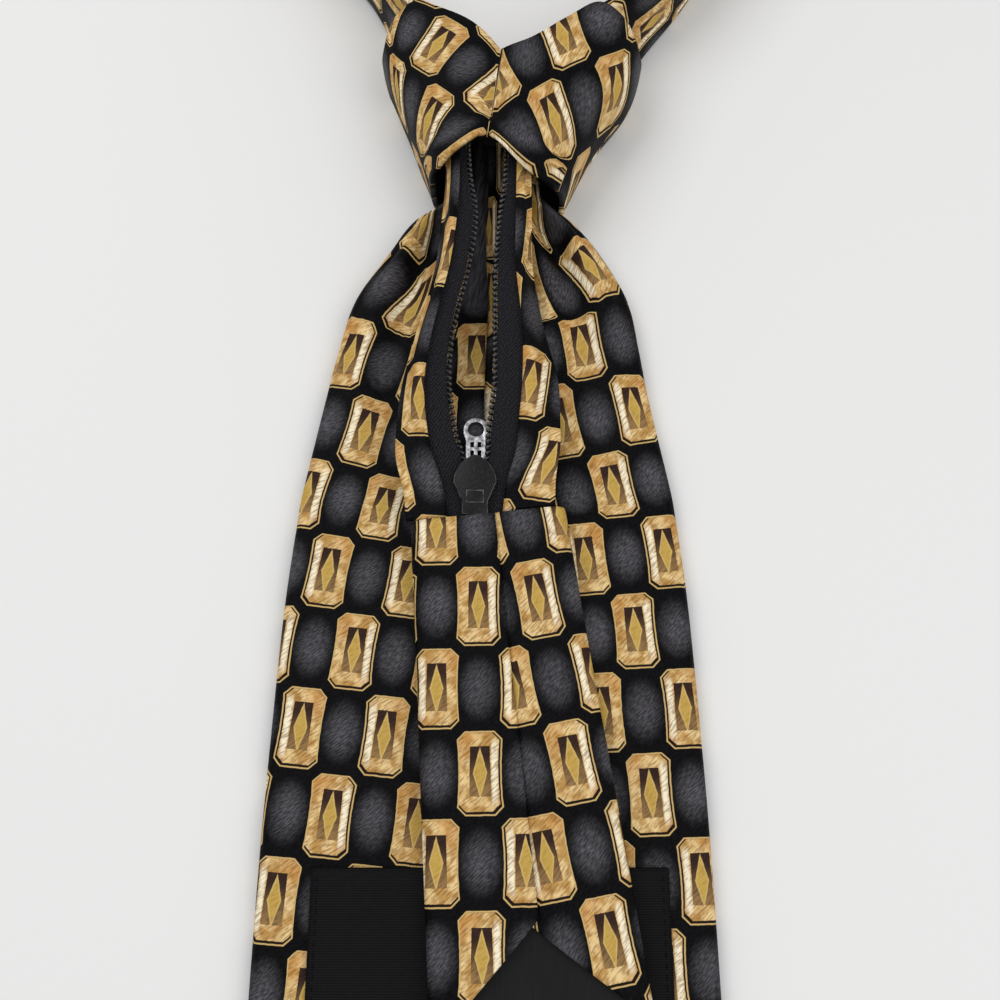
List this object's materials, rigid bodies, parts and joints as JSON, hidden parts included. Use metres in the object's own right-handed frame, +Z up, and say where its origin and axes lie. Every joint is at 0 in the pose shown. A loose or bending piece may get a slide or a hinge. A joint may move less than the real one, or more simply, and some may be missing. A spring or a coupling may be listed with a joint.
{
  "type": "zipper tie",
  "caption": "Ready-tied necktie with a neck loop that opens with a coil zip behind the wide blade, lying on its front.",
  "frame": {"origin": "on the resting plane under the middle of the wide blade's front face, level with the slider on the other side", "axes": "+X to the right seen from the back, +Y along the tie from the blade's point towards the knot and neck loop, +Z up out of the tie's back"},
  "size_m": [0.1346, 0.6342, 0.0278],
  "materials": {
    "silk": "printed silk twill, black ground with gold and tan chamfered motifs and charcoal shading",
    "satin": "black satin lining",
    "label_weave": "black ribbed woven label, bare",
    "tape_weave": "black woven polyester zip tape",
    "nylon": "black nylon coil with a soft gloss",
    "black_enamel": "black painted zinc, slightly worn at the edges",
    "nickel": "worn nickel-plated zinc"
  },
  "bodies": {
    "tie": {"blade": "silk", "label": "label_weave", "tail": "silk", "tail_lining": "satin", "zip_tape_left": "tape_weave", "zip_strip_left": "silk", "zip_coil_left": "nylon", "zip_tape_right": "tape_weave", "zip_strip_right": "silk", "zip_coil_right": "nylon", "slider": "black_enamel", "knot": "silk", "neckband": "silk"},
    "pull": {"pull_tab": "nickel"}
  },
  "joints": [
    {"name": "pull_hinge", "type": "hinge", "parent": "tie", "child": "pull", "pos_m": [-0.0026, 0.00122, 0.00666], "axis": [1, 0, 0], "range_deg": [0, 11]}
  ]
}
